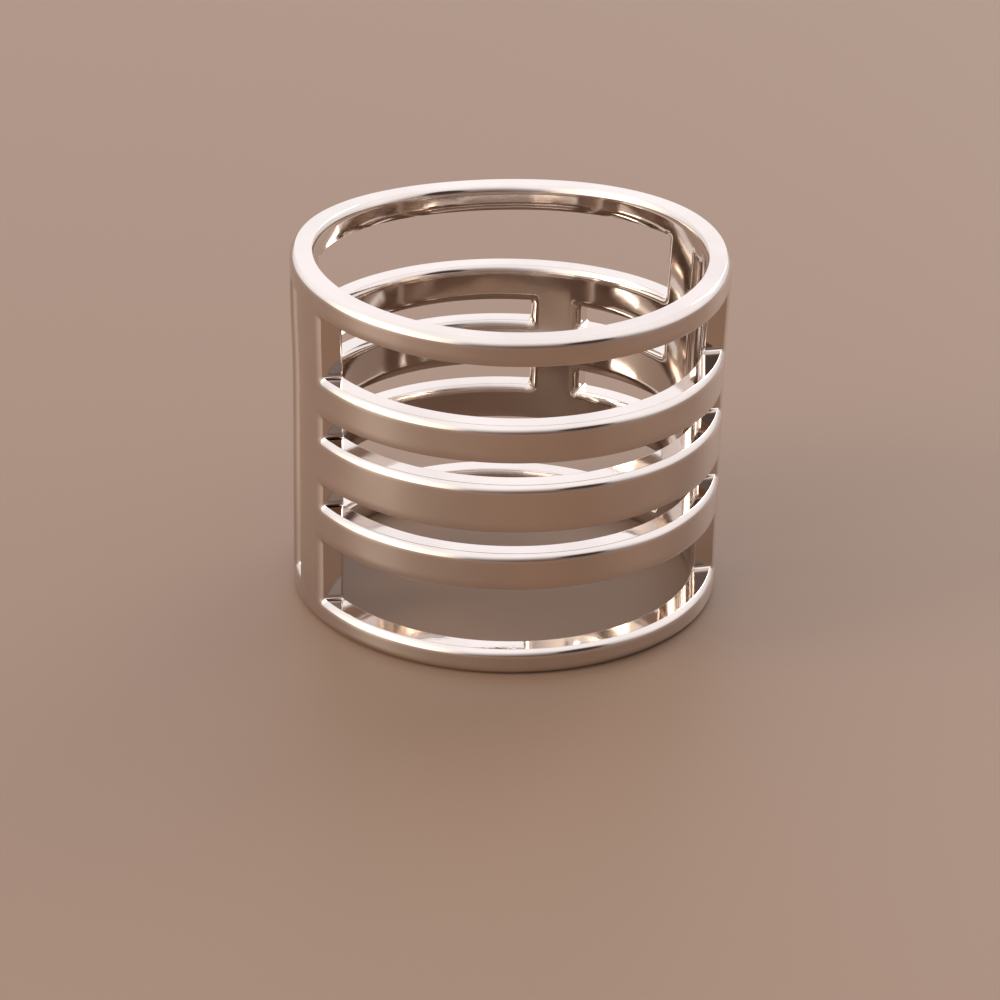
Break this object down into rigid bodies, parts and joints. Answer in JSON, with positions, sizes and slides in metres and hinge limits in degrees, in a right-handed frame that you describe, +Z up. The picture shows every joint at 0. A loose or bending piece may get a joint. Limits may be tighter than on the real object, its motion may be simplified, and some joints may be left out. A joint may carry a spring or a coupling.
{
  "type": "openwork ring",
  "caption": "Tall openwork finger ring: slim hoops one above the other around a broader middle hoop, joined by slit side uprights and a short post at the back.",
  "frame": {"origin": "centre of the band's bottom edge, on the finger axis", "axes": "+Z up the finger axis, -Y the front of the band, X through the two side uprights"},
  "size_m": [0.0195, 0.0196, 0.016],
  "materials": {
    "silver": "polished silver with a warm rose tint"
  },
  "bodies": {
    "root": {"openwork_band": "silver"}
  },
  "joints": []
}
